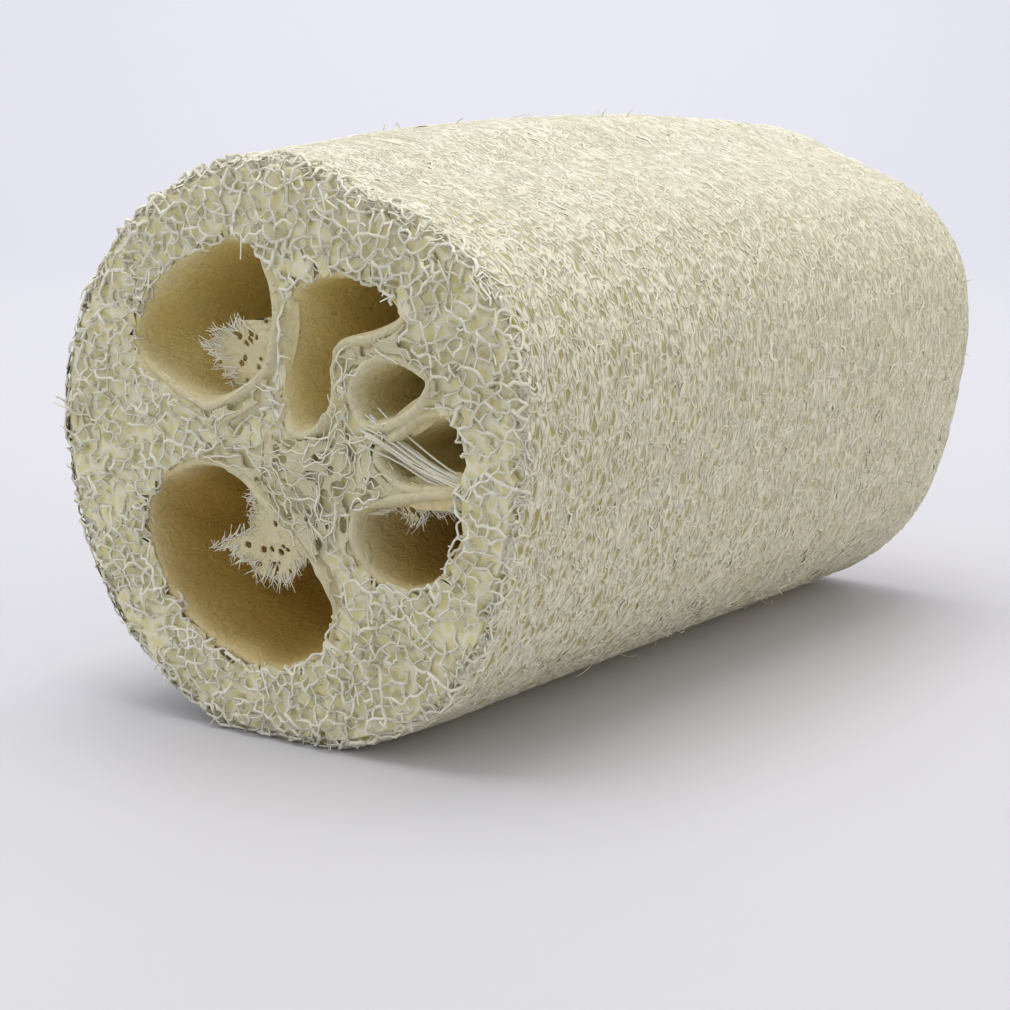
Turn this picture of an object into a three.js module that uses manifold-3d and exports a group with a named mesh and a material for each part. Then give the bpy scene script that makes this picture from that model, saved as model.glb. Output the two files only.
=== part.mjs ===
// A natural loofah sponge: a cut length of the dried fibre skeleton of a gourd, lying on its flattest side.
// It grew as one piece, so it is one solid: the net of fibres round the outside, the cut net on both ends,
// the seed channels that run right through it, and the torn membranes that still hang in their mouths.
// Millimetres. +Y runs along the gourd from the front cut to the back cut, and +Z is up.
// The origin is under the middle of the sponge, on the surface that it lies on.

import * as THREE from "three";
import { mergeVertices } from "three/addons/utils/BufferGeometryUtils.js";
import Module from "manifold-3d";

const wasm = await Module();
wasm.setup();

// Driving dimensions of the cut length.
const LENGTH = 100;
const TRIM = 4;
const AXIS_HEIGHT = 30;
const BACK_WIDTH_SHARE = 0.94;
const BACK_HEIGHT_SHARE = 0.99;
const MIDDLE_SWELL = 0.05;
const FRONT_RIM = { starts: 0.88, depth: 1.8 };
const BACK_RIM = { starts: 0.84, depth: 3 };

// Distance from the middle line to the skin at the front cut, every 20 degrees, clockwise from the top.
const SKIN_RADII = [
  28.4, 27, 28.6, 31.4, 30.1, 28.9, 29.6, 31, 31.2, 31, 31.8, 31.6, 31.1, 30.9, 30.8, 30.1, 29.4, 28.6,
];

// The net: pores on the skin are drawn out round the gourd, and those on the cuts are about as wide as long.
const SKIN_AROUND = 54;
const SKIN_ROW = 1.75;
const SKIN_PORE = 1.4;
const CUT_COLUMN = 2.3;
const CUT_ROW = 2;
const CUT_PORE = 2;
const CREST_ROUGHNESS = 0.12;
const LATTICE_JITTER = 0.22;
const POINTS_PER_PORE = 3;
const FINEST_FOLD = 0.06;

// The seed channels at the front cut, as points [x, z] from the middle line, clockwise seen from the front.
const CHANNELS = {
  upperLeft: {
    sides: 18,
    edge: [[-4.6, 20], [-1.5, 16.6], [-0.6, 13], [-1.4, 8.6], [-4.6, 5.6], [-9.6, 3.7], [-15.4, 5.8],
      [-19.5, 9.6], [-16.8, 14.6], [-11.4, 18.4]],
  },
  upperMiddle: {
    sides: 18,
    edge: [[1.6, 15.2], [6.4, 17.2], [11.4, 16.7], [14.8, 14], [12.6, 12.3], [7.8, 11], [6.4, 8], [6, 4.2],
      [3.4, 1.9], [0.9, 3.4], [0.6, 9]],
  },
  ring: {
    sides: 12,
    edge: [[14.2, 9.5], [17.8, 8], [17, 5.9], [14, 4], [10.8, 3.6], [9.7, 6.2], [11.4, 8.6]],
  },
  right: {
    sides: 12,
    edge: [[17.6, 4.4], [20, 4.8], [22, 2.4], [22.3, -0.4], [20.4, -1.6], [15.4, -1.9], [12.8, 0.3],
      [14.4, 2]],
  },
  lowerRight: {
    sides: 14,
    edge: [[10, -5.6], [13.8, -4.2], [18, -3.3], [21.4, -3.2], [21.8, -6.6], [18.6, -11.2], [14, -12.3],
      [10.4, -9.9]],
  },
  lowerLeft: {
    sides: 18,
    edge: [[-8, -2.8], [-4.4, -4.3], [0.4, -8.1], [4.4, -11.8], [6.1, -15.4], [4.5, -20], [-1.5, -22.7],
      [-8.6, -21.6], [-15, -17.2], [-18.3, -11], [-17.1, -5.9], [-12.5, -3.3]],
  },
};
const CHANNEL_STATIONS = 6;
const CHANNEL_NARROWING = 0.07;
const CHANNEL_WAVE = 0.02;

// Torn membranes: the outline of each, points [x, z] as above with the root sunk in the channel's wall,
// how far behind the front cut it starts, and the angle by which it turns away from the cut.
const MEMBRANE = 1;
const MEMBRANES = {
  upperLeft: {
    behind: 2.2,
    turn: -0.05,
    edge: [[0.2, 13.2], [0.2, 7.6], [-3.4, 4.2], [-7.4, 3], [-8.2, 6.8], [-9.2, 7.4], [-9.2, 8.4],
      [-10.9, 9.1], [-9.4, 9.8], [-9, 11], [-7.6, 10.8], [-6.6, 12.2], [-5, 12]],
  },
  lowerLeft: {
    behind: 2.2,
    turn: -0.05,
    edge: [[2.6, -6.6], [-2, -4.6], [-4.8, -3.4], [-5.6, -9.6], [-7.6, -10], [-10.2, -11.4], [-8, -11.6],
      [-7.4, -12.8], [-6, -12.4], [-5, -14.6], [-3.8, -13.8], [-2.4, -14.8], [-0.6, -14], [1.2, -11.6],
      [4.6, -10.2]],
  },
  lowerRight: {
    behind: 1.2,
    turn: 0.05,
    edge: [[8.4, -3.6], [22.6, -1.8], [22.8, -4.4], [19.8, -4.2], [18.2, -5.3], [17, -4.8], [15.8, -6],
      [14.7, -6.6], [13.6, -5.5], [12.6, -5], [9, -6]],
  },
};

// The bundle of fibres left stretched across the mouth of the right channel.
const STRAND_RADIUS = 0.65;
const STRAND_SIDES = 6;
const STRAND_STEPS = 6;
const STRAND_ROUTE = [[10.8, 1.2, 3], [15.1, 1.6, 0.9], [18, 2, -0.6], [23.6, 2.6, -2]];

const outline = new THREE.CatmullRomCurve3(
  SKIN_RADII.map((radius, k) => {
    const angle = (2 * Math.PI * k) / SKIN_RADII.length;
    return new THREE.Vector3(radius * Math.sin(angle), 0, radius * Math.cos(angle));
  }),
  true,
);

// The same number from -1 to 1 each time for a lattice point: growth is uneven, and never changes.
function uneven(column, row, salt) {
  const wave = Math.sin(column * 12.9898 + row * 78.233 + salt * 37.719) * 43758.5453;
  return 2 * (wave - Math.floor(wave)) - 1;
}

// On a triangular lattice one point in three is the bottom of a pore, and the six round it carry the fibres.
function isPore(column, row) {
  return (column - row) % POINTS_PER_PORE === 0;
}

// How much narrower and lower the gourd is at y than at the front cut.
function shareAt(y) {
  const t = THREE.MathUtils.clamp(y / LENGTH + 0.5, 0, 1);
  return {
    width: THREE.MathUtils.lerp(1, BACK_WIDTH_SHARE, t),
    height: THREE.MathUtils.lerp(1, BACK_HEIGHT_SHARE, t) + MIDDLE_SWELL * 4 * t * (1 - t),
  };
}

// A point given from the middle line at the front cut, moved to where it lies at y.
function placeAt(x, y, z) {
  const share = shareAt(y);
  return new THREE.Vector3(x * share.width, y, (z + AXIS_HEIGHT) * share.height);
}

// How far out a point lies: 0 on the middle line and 1 on the skin.
function outwardShare(x, y, z) {
  const share = shareAt(y);
  const flat = new THREE.Vector2(x / share.width, z / share.height - AXIS_HEIGHT);
  const turn = THREE.MathUtils.euclideanModulo(Math.atan2(flat.x, flat.y) / (2 * Math.PI), 1);
  return flat.length() / outline.getPoint(turn).length();
}

// A closed mesh as a solid that can be joined and cut.
function solidOf(geometry) {
  const bare = geometry.clone();
  bare.deleteAttribute("normal");
  bare.deleteAttribute("uv");
  const merged = mergeVertices(bare, 1e-4);
  return new wasm.Manifold(
    new wasm.Mesh({
      numProp: 3,
      vertProperties: new Float32Array(merged.attributes.position.array),
      triVerts: new Uint32Array(merged.index.array),
    }),
  );
}

// A closed tube along Y. wall(column, row, y) gives each point of its side, and middle(y) that of each end.
function tube(sides, rows, length, wall, middle) {
  const geometry = new THREE.CylinderGeometry(1, 1, length, sides, rows);
  const position = geometry.attributes.position;
  for (let k = 0; k < position.count; k++) {
    const from = new THREE.Vector3().fromBufferAttribute(position, k);
    const row = Math.round((0.5 - from.y / length) * rows);
    const onAxis = Math.hypot(from.x, from.z) < 0.5;
    const column = Math.round((Math.atan2(from.x, from.z) / (2 * Math.PI) + 1) * sides) % sides;
    const to = onAxis ? middle(from.y) : wall(column, row, from.y);
    position.setXYZ(k, to.x, to.y, to.z);
  }
  return solidOf(geometry);
}

// The outside of the gourd, longer than the cut length: a net that is pressed flat where it lies.
function skin() {
  const grown = LENGTH + TRIM;
  const rows = Math.round(grown / SKIN_ROW);
  const wall = (column, row, y) => {
    const turn = (column + row / 2 + LATTICE_JITTER * uneven(column, row, 1)) / SKIN_AROUND;
    const station = y + LATTICE_JITTER * SKIN_ROW * uneven(column, row, 2);
    const crest = outline.getPoint(THREE.MathUtils.euclideanModulo(turn, 1));
    const pressed = placeAt(crest.x, station, crest.z).z <= 0;
    const roughness = CREST_ROUGHNESS * (1 + uneven(column, row, 3));
    const depth = roughness + (isPore(column, row) ? SKIN_PORE : 0);
    crest.setLength(crest.length() - (pressed ? 0 : depth));
    const point = placeAt(crest.x, station, crest.z);
    point.z = Math.max(point.z, 0);
    return point;
  };
  return tube(SKIN_AROUND, rows, grown, wall, (y) => placeAt(0, y, 0));
}

// The block that a cut takes away, at the front with end -1 and at the back with end 1.
// Its inner face is the cut: a net of pores that rounds off towards the skin.
function cut(end, rim) {
  const height = 2.2 * AXIS_HEIGHT;
  const thickness = 20;
  const rows = Math.ceil(height / CUT_ROW);
  const columns = Math.ceil(height / CUT_COLUMN + rows / 2);
  const block = new THREE.BoxGeometry(columns, thickness, rows, columns, 1, rows);
  const position = block.attributes.position;
  for (let k = 0; k < position.count; k++) {
    const column = Math.round(position.getX(k) + columns / 2);
    const row = Math.round(rows / 2 - end * position.getZ(k));
    const inner = position.getY(k) * end < 0;
    const jitter = inner ? LATTICE_JITTER : 0;
    const across = column + row / 2 - columns / 2 - rows / 4 + jitter * uneven(column, row, 4);
    const up = -end * (row - rows / 2 + jitter * uneven(column, row, 5));
    const x = across * CUT_COLUMN;
    const z = up * CUT_ROW + AXIS_HEIGHT;
    const towardsSkin = (outwardShare(x, (end * LENGTH) / 2, z) - rim.starts) / (1 - rim.starts);
    const rounding = rim.depth * THREE.MathUtils.clamp(towardsSkin, 0, 1.5) ** 2;
    const roughness = CREST_ROUGHNESS * (1 + uneven(column, row, 6));
    const depth = roughness + (isPore(column, row) ? CUT_PORE : 0) + rounding;
    position.setXYZ(k, x, end * (LENGTH / 2 + (inner ? -depth : thickness)), z);
  }
  return solidOf(block);
}

// A point of a channel at y: channels run straight from cut to cut, and don't follow the swell of the skin.
function straight(point, y) {
  const front = placeAt(point.x, -LENGTH / 2, point.z);
  const back = placeAt(point.x, LENGTH / 2, point.z);
  return front.lerp(back, y / LENGTH + 0.5);
}

// A seed channel, open at both ends, a little narrower inside than at its mouths.
function channel({ sides, edge }, phase) {
  const curve = new THREE.CatmullRomCurve3(edge.map(([x, z]) => new THREE.Vector3(x, 0, z)), true);
  const centre = edge.reduce((sum, [x, z]) => sum.add(new THREE.Vector3(x, 0, z)), new THREE.Vector3());
  centre.divideScalar(edge.length);
  const wall = (column, row, y) => {
    const inside = Math.max(0, 1 - (2 * y / LENGTH) ** 2);
    const wave = CHANNEL_WAVE * uneven(column, row, phase);
    const point = curve.getPoint(column / sides).lerp(centre, (CHANNEL_NARROWING + wave) * inside);
    return straight(point, y);
  };
  return tube(sides, CHANNEL_STATIONS, LENGTH + 2 * TRIM, wall, (y) => straight(centre, y));
}

// A torn membrane: a thin blade across the channel, turned about its root.
function membrane({ edge, behind, turn }) {
  const shape = new THREE.Shape(edge.map(([x, z]) => new THREE.Vector2(x, z)));
  const blade = new THREE.ExtrudeGeometry(shape, { depth: MEMBRANE, bevelEnabled: false });
  const [rootX] = edge[0];
  blade.rotateX(Math.PI / 2);
  blade.translate(-rootX, 0, 0);
  blade.rotateZ(turn);
  blade.translate(rootX, behind + MEMBRANE - LENGTH / 2, AXIS_HEIGHT);
  return solidOf(blade);
}

// A bundle of fibres stretched from wall to wall.
function strand() {
  const corners = [];
  for (let k = 0; k < STRAND_SIDES; k++) {
    const angle = (2 * Math.PI * k) / STRAND_SIDES;
    corners.push(new THREE.Vector2(STRAND_RADIUS * Math.cos(angle), STRAND_RADIUS * Math.sin(angle)));
  }
  const route = new THREE.CatmullRomCurve3(
    STRAND_ROUTE.map(([x, behind, z]) => new THREE.Vector3(x, behind - LENGTH / 2, z + AXIS_HEIGHT)),
  );
  const geometry = new THREE.ExtrudeGeometry(new THREE.Shape(corners), {
    steps: STRAND_STEPS,
    extrudePath: route,
    bevelEnabled: false,
  });
  return solidOf(geometry);
}

// A solid as a mesh that can be shown.
function geometryOf(solid) {
  const mesh = solid.getMesh();
  const geometry = new THREE.BufferGeometry();
  geometry.setAttribute("position", new THREE.BufferAttribute(mesh.vertProperties, 3));
  geometry.setIndex(new THREE.BufferAttribute(mesh.triVerts, 1));
  geometry.computeVertexNormals();
  return geometry;
}

// The gourd is grown longer than it is cut: its channels are cleared, and then both ends are cut.
let body = skin();
Object.values(CHANNELS).forEach((each, phase) => {
  body = body.subtract(channel(each, phase));
});
Object.values(MEMBRANES).forEach((each) => {
  body = body.add(membrane(each));
});
body = body.add(strand());
body = body.subtract(cut(-1, FRONT_RIM)).subtract(cut(1, BACK_RIM));
body = body.simplify(FINEST_FOLD);

const fibre = new THREE.MeshStandardMaterial({ color: 0xe4dec3, roughness: 0.85, metalness: 0 });
const loofah = new THREE.Mesh(geometryOf(body), fibre);
loofah.name = "loofah";
loofah.geometry.computeBoundingBox();
const box = loofah.geometry.boundingBox;
loofah.position.set(-(box.min.x + box.max.x) / 2, -(box.min.y + box.max.y) / 2, -box.min.z);

const group = new THREE.Group();
group.add(loofah);

export default group;
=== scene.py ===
import math

import bmesh
import bpy
import numpy as np
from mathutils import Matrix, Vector
from mathutils.bvhtree import BVHTree
from mathutils.geometry import delaunay_2d_cdt
from mathutils.kdtree import KDTree


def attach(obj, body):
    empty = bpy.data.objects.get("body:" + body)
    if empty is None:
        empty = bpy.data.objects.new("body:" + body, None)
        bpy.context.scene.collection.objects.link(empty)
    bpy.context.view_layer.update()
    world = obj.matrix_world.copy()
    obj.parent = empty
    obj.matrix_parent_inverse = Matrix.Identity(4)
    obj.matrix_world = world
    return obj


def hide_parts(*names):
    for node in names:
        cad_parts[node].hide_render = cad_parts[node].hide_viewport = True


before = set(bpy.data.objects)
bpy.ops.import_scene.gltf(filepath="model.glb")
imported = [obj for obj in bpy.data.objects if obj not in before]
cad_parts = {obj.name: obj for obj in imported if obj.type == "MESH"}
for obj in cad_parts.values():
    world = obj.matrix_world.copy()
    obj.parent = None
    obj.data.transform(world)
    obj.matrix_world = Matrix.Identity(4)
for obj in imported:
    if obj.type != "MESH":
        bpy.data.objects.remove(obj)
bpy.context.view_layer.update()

# The inner net: the body of the sponge, seen only as the floor of the pores between the fibres.
# It is dried vascular tissue, straw-coloured where no bleach reached it, and it fills the space
# between the seed channels. It stops short of both cuts and of the skin, to leave room for the fibres.

# Lengths are in millimetres, and MM makes metres of them.
MM = 0.001
HALF_LENGTH = 50.0
CUT_FLOOR = 1.4
SKIN_FLOOR = 1.0
AXIS_X = 0.61
AXIS_Z = 30.0
FIBRE_IOR = 1.47
PITH_CELL = 1.6
RIM_POINTS = 72
WALL_MARGIN = 0.4
BACK_NARROWER = 0.06
BACK_LOWER = 0.01
SKIN_TURN = 3
SKIN_STATIONS = 66
SKIN_LAST = 48.6
SKIN_SMOOTHINGS = 3
OUTSIDE = 50.0
SHOULDER_FROM = 47.0
SHOULDER_LENGTH = 3.0
SHOULDER_DROP = 1.4

# Each channel's outline at the front cut, across and up from the middle line.
MOUTHS = {
    "upper_left": [
        (-4.6, 20), (-1.5, 16.6), (-0.6, 13), (-1.4, 8.6), (-4.6, 5.6), (-9.6, 3.7), (-15.4, 5.8),
        (-19.5, 9.6), (-16.8, 14.6), (-11.4, 18.4),
    ],
    "upper_middle": [
        (1.6, 15.2), (6.4, 17.2), (11.4, 16.7), (14.8, 14), (12.6, 12.3), (7.8, 11), (6.4, 8), (6, 4.2),
        (3.4, 1.9), (0.9, 3.4), (0.6, 9),
    ],
    "ring": [(14.2, 9.5), (17.8, 8), (17, 5.9), (14, 4), (10.8, 3.6), (9.7, 6.2), (11.4, 8.6)],
    "right": [
        (17.6, 4.4), (20, 4.8), (22, 2.4), (22.3, -0.4), (20.4, -1.6), (15.4, -1.9), (12.8, 0.3), (14.4, 2),
    ],
    "lower_right": [
        (10, -5.6), (13.8, -4.2), (18, -3.3), (21.4, -3.2), (21.8, -6.6), (18.6, -11.2), (14, -12.3),
        (10.4, -9.9),
    ],
    "lower_left": [
        (-8, -2.8), (-4.4, -4.3), (0.4, -8.1), (4.4, -11.8), (6.1, -15.4), (4.5, -20), (-1.5, -22.7),
        (-8.6, -21.6), (-15, -17.2), (-18.3, -11), (-17.1, -5.9), (-12.5, -3.3),
    ],
}


def linear(code):
    """The linear colour of an sRGB hex code."""
    parts = [int(code[k : k + 2], 16) / 255 for k in (1, 3, 5)]
    return [c / 12.92 if c <= 0.04045 else ((c + 0.055) / 1.055) ** 2.4 for c in parts] + [1.0]


def add(tree, kind, inputs=(), **settings):
    """Adds a node. inputs maps a socket's name or number to a value or to another node's output."""
    node = tree.nodes.new(kind)
    for name, value in settings.items():
        setattr(node, name, value)
    for key, value in dict(inputs).items():
        if isinstance(value, bpy.types.NodeSocket):
            tree.links.new(value, node.inputs[key])
        else:
            node.inputs[key].default_value = value
    return node


def material_of(name):
    """A new material, its node tree and its one shader."""
    material = bpy.data.materials.new(name)
    material.use_nodes = True
    return material, material.node_tree, material.node_tree.nodes["Principled BSDF"]


def piece_of(name, mesh):
    """A new object at the origin that holds the mesh."""
    piece = bpy.data.objects.new(name, mesh)
    bpy.context.scene.collection.objects.link(piece)
    return piece


# Straw-yellow flesh under a paler web of strands, so the pores between the fibres get a warm floor.
straw_pith, tree, shader = material_of("Dry loofah pith, unbleached")
place = add(tree, "ShaderNodeTexCoord").outputs["Object"]
cells = add(
    tree,
    "ShaderNodeTexVoronoi",
    {"Vector": place, "Scale": 1 / (PITH_CELL * MM)},
    feature="DISTANCE_TO_EDGE",
)
strands = add(
    tree,
    "ShaderNodeMapRange",
    {"Value": cells.outputs["Distance"], "From Min": 0.03, "From Max": 0.22, "To Min": 1.0, "To Max": 0.0},
)
hue = add(
    tree,
    "ShaderNodeMix",
    {"Factor": strands.outputs["Result"], "A": linear("#e0d9a6"), "B": linear("#e8e4ca")},
    data_type="RGBA",
)
tree.links.new(hue.outputs["Result"], shader.inputs["Base Color"])
shader.inputs["Roughness"].default_value = 0.85
shader.inputs["IOR"].default_value = FIBRE_IOR

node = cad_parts["loofah"]
solid = bmesh.new()
solid.from_mesh(node.data)
bmesh.ops.remove_doubles(solid, verts=solid.verts, dist=0.01 * MM)
solid.normal_update()
tissue = BVHTree.FromBMesh(solid)
for end in (-1, 1):
    cut = bmesh.ops.bisect_plane(
        solid,
        geom=solid.verts[:] + solid.edges[:] + solid.faces[:],
        plane_co=(0, end * (HALF_LENGTH - CUT_FLOOR) * MM, 0),
        plane_no=(0, end, 0),
        clear_outer=True,
    )
    rim = [e for e in cut["geom_cut"] if isinstance(e, bmesh.types.BMEdge)]
    bmesh.ops.triangle_fill(solid, edges=rim, use_beauty=True, normal=(0, end, 0))


def axis_share(y):
    """How wide and how high a channel is at y, as shares of its mouth at the front cut."""
    t = np.asarray(y, float) / (2 * HALF_LENGTH) + 0.5
    return 1 - BACK_NARROWER * t, 1 - BACK_LOWER * t


def closed_curve(points, count):
    """count points evenly along a smooth closed curve through the given ones."""
    p = np.array(points, float)
    fine = []
    for k in range(len(p)):
        a, b, c, d = p[k - 1], p[k], p[(k + 1) % len(p)], p[(k + 2) % len(p)]
        t = np.linspace(0, 1, 24, endpoint=False)[:, None]
        bend = (2 * a - 5 * b + 4 * c - d) * t**2
        twist = (3 * b - a - 3 * c + d) * t**3
        fine.append(0.5 * (2 * b + (c - a) * t + bend + twist))
    fine = np.vstack(fine + [fine[0][:1]])
    along = np.concatenate([[0], np.cumsum(np.linalg.norm(np.diff(fine, axis=0), axis=1))])
    wanted = np.linspace(0, along[-1], count, endpoint=False)
    return np.stack([np.interp(wanted, along, fine[:, k]) for k in (0, 1)], -1)


def outward(curve):
    """The directions away from the inside of a closed clockwise curve."""
    along = np.roll(curve, -1, 0) - np.roll(curve, 1, 0)
    across = np.stack([-along[:, 1], along[:, 0]], -1)
    return across / np.linalg.norm(across, axis=1)[:, None]


def inside(curve, flat):
    """Which points of the cut lie inside a closed curve."""
    x, z = flat[:, 0][:, None], flat[:, 1][:, None]
    a, b = curve, np.roll(curve, -1, 0)
    crosses = (a[:, 1] > z) != (b[:, 1] > z)
    with np.errstate(divide="ignore", invalid="ignore"):
        at = a[:, 0] + (z - a[:, 1]) * (b[:, 0] - a[:, 0]) / (b[:, 1] - a[:, 1])
    return (crosses & (x < at)).sum(1) % 2 == 1


def in_a_channel(point):
    """True for a point of the solid in a seed channel or on its wall."""
    wide, high = axis_share(point[1])
    flat = np.array([[(point[0] - AXIS_X) / wide, point[2] / high - AXIS_Z]])
    return any(inside(rim + outward(rim) * WALL_MARGIN, flat)[0] for rim in rims)


def skin_table():
    """Distance from the middle line to the crests of the skin, by angle from the top and by y."""
    angles = np.radians(np.arange(0, 360, SKIN_TURN))
    stations = np.linspace(-SKIN_LAST, SKIN_LAST, SKIN_STATIONS)
    radii = np.zeros((len(angles), len(stations)))
    for i, a in enumerate(angles):
        out = Vector((math.sin(a), 0, math.cos(a)))
        for k, y in enumerate(stations):
            start = Vector((AXIS_X, y, AXIS_Z)) * MM + out * OUTSIDE * MM
            hit = tissue.ray_cast(start, -out)
            radii[i, k] = OUTSIDE - hit[3] / MM
    crests = radii
    for i in (-2, -1, 1, 2):
        crests = np.maximum(crests, np.roll(radii, i, 0))
    wide = np.pad(crests, ((0, 0), (2, 2)), mode="edge")
    crests = np.max([wide[:, k : k + len(stations)] for k in range(5)], axis=0)
    for _ in range(SKIN_SMOOTHINGS):
        wide = np.pad(crests, ((0, 0), (1, 1)), mode="edge")
        crests = (wide[:, :-2] + 2 * crests + wide[:, 2:]) / 4
        crests = (np.roll(crests, 1, 0) + 2 * crests + np.roll(crests, -1, 0)) / 4
    return stations, crests


stations, crests = skin_table()
rims = [closed_curve(mouth, RIM_POINTS) for mouth in MOUTHS.values()]


def skin_radius(angle, y):
    """Distance from the middle line to the skin at an angle from the top and at y, in millimetres."""
    a = np.mod(np.degrees(angle), 360) / SKIN_TURN
    k = np.clip((np.asarray(y) - stations[0]) / (stations[1] - stations[0]), 0, len(stations) - 1.001)
    i0, k0 = np.floor(a).astype(int), np.floor(k).astype(int)
    fa, fy = a - i0, k - k0
    i0, i1 = i0 % len(crests), (i0 + 1) % len(crests)
    low = crests[i0, k0] * (1 - fa) + crests[i1, k0] * fa
    high = crests[i0, k0 + 1] * (1 - fa) + crests[i1, k0 + 1] * fa
    shoulder = np.maximum(np.abs(y) - SHOULDER_FROM, 0) / SHOULDER_LENGTH
    return low * (1 - fy) + high * fy - SHOULDER_DROP * shoulder**2


def on_skin(angle, y, depth):
    """The point at a depth under the skin."""
    reach = skin_radius(angle, y) - depth
    return np.stack([AXIS_X + reach * np.sin(angle), y, AXIS_Z + reach * np.cos(angle)], -1)


torn = [face for face in solid.faces if in_a_channel(face.calc_center_median() / MM)]
bmesh.ops.delete(solid, geom=torn, context="FACES")
for vert in solid.verts:
    x, z = vert.co.x / MM - AXIS_X, vert.co.z / MM - AXIS_Z
    angle, reach = math.atan2(x, z), math.hypot(x, z)
    most = float(skin_radius(angle, vert.co.y / MM)) - SKIN_FLOOR
    if reach > most:
        vert.co.x = (AXIS_X + most * math.sin(angle)) * MM
        vert.co.z = (AXIS_Z + most * math.cos(angle)) * MM
pith_mesh = bpy.data.meshes.new("inner_net")
solid.to_mesh(pith_mesh)
solid.free()
pith_mesh.materials.append(straw_pith)
pith = piece_of("inner_net", pith_mesh)
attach(pith, "root")
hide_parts("loofah")

# The seed channels: each is lined by a thin skin of dried tissue, smooth where the seeds lay. Its golden deep
# is partly the tissue's own straw colour and partly painted light for warm light bounced in the channel and
# passed through its thin wall. Towards the core it rolls out of the mouth as a soft pale lip, and towards the
# skin it fades into the net. The lip's rings are given by how far they lie out from the mouth and behind the
# cut.
LINING_AROUND = 120
WALL_STEPS = 40
LINING_INSET = 0.3
LINING_GRAIN = 0.8
LINING_CLOUD = 6.0
LINING_PORE = 1.7
LIP_CRUMPLE = 0.35
WALL_WAVES = 0.35
WALL_BULGE = 0.4
WAIST = 0.07
CORE = np.array([4.5, -2.0])
HOOP = "ring"
# The lower channels, whose deep gets painted shade that makes it browner.
SHADED_LOWER_CHANNELS = ("lower_left", "lower_right")
LIP_OUT = np.array([2.6, 1.5, 1.15, 0.8, 0.5, 0.25, 0.1, 0.0])
LIP_BEHIND = np.array([2.2, 1.2, 0.45, 0.2, 0.35, 0.9, 1.7, 2.8])
FADE_OUT = np.array([3.0, 1.8, 1.0, 0.6, 0.3, 0.15, 0.05, 0.0])
FADE_BEHIND = np.array([2.2, 2.0, 1.75, 1.55, 1.6, 2.0, 2.6, 3.4])


def placed(flat, y):
    """Points given from the middle line at the front cut, moved to where they lie at y."""
    wide, high = axis_share(y)
    across, up = flat[..., 0], flat[..., 1]
    return np.stack([across * wide + AXIS_X, y + 0 * across, (up + AXIS_Z) * high], -1)


def ripple(a, b, seed):
    """A smooth uneven field from about -1 to 1 over two coordinates."""
    draw = np.random.default_rng(seed)
    total = 0
    for _ in range(6):
        turn, phase = draw.uniform(0, 2 * np.pi, 2)
        pace = draw.uniform(0.6, 1.7)
        total = total + np.sin(pace * (a * np.cos(turn) + b * np.sin(turn)) + phase)
    return total / 3


def core_side(name, rim):
    """How much of a lip each point of a mouth has: 1 towards the core and round the hoop, 0 at the skin."""
    way = CORE - rim
    facing = (outward(rim) * way).sum(1) / np.linalg.norm(way, axis=1)
    return np.clip(0.55 + 0.9 * facing + (name == HOOP), 0, 1)


# A thin smooth skin with a fine grain and a few pores. The deep is golden, partly its own straw colour and
# partly painted light for warm light bounced in the channel and passed through its wall; painted shade makes
# the deep of the lower channels browner; the pores are brown spots of painted shade; and it is greyish cream
# where the air and the bleach reached it, at the lips.
lining_skin, tree, shader = material_of("Loofah seed-channel lining, thin dried membrane")
place = add(tree, "ShaderNodeTexCoord").outputs["Object"]
drawn = add(tree, "ShaderNodeMapping", {"Vector": place, "Scale": (1.0, 0.5, 1.0)}).outputs["Vector"]
fibres = add(
    tree,
    "ShaderNodeTexNoise",
    {"Vector": drawn, "Scale": 1 / (LINING_GRAIN * MM), "Detail": 5.0, "Distortion": 1.2},
)
clouds = add(tree, "ShaderNodeTexNoise", {"Vector": place, "Scale": 1 / (LINING_CLOUD * MM), "Detail": 2.0})
pores = add(tree, "ShaderNodeTexVoronoi", {"Vector": place, "Scale": 1 / (LINING_PORE * MM)})
pore_shade = add(
    tree,
    "ShaderNodeMapRange",
    {"Value": pores.outputs["Distance"], "From Min": 0.08, "From Max": 0.2, "To Min": 0.7, "To Max": 1.0},
)
paleness = add(tree, "ShaderNodeAttribute", attribute_name="paleness").outputs["Fac"]
lower_channel_shade = add(tree, "ShaderNodeAttribute", attribute_name="lower_channel_shade").outputs["Fac"]
# The deep's golden is partly the tissue's own colour and partly painted warm light.
golden_and_painted_glow = add(
    tree,
    "ShaderNodeMix",
    {"Factor": clouds.outputs["Fac"], "A": linear("#fde48a"), "B": linear("#fff4bc")},
    data_type="RGBA",
)
# Painted shade: the deep of the lower channels is browner.
deep = add(
    tree,
    "ShaderNodeMix",
    {"Factor": lower_channel_shade, "A": golden_and_painted_glow.outputs["Result"], "B": linear("#dcc06a")},
    data_type="RGBA",
)
mouth = add(
    tree,
    "ShaderNodeMix",
    {"Factor": clouds.outputs["Fac"], "A": linear("#cfcaab"), "B": linear("#ddd9c4")},
    data_type="RGBA",
)
hue = add(
    tree,
    "ShaderNodeMix",
    {"Factor": paleness, "A": deep.outputs["Result"], "B": mouth.outputs["Result"]},
    data_type="RGBA",
)
streaked = add(
    tree,
    "ShaderNodeMix",
    {"Factor": fibres.outputs["Fac"], "A": linear("#eee4bc"), "B": linear("#ffffff")},
    data_type="RGBA",
)
grained = add(
    tree,
    "ShaderNodeMix",
    {"Factor": 0.75, "A": hue.outputs["Result"], "B": streaked.outputs["Result"]},
    data_type="RGBA",
    blend_type="MULTIPLY",
)
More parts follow.
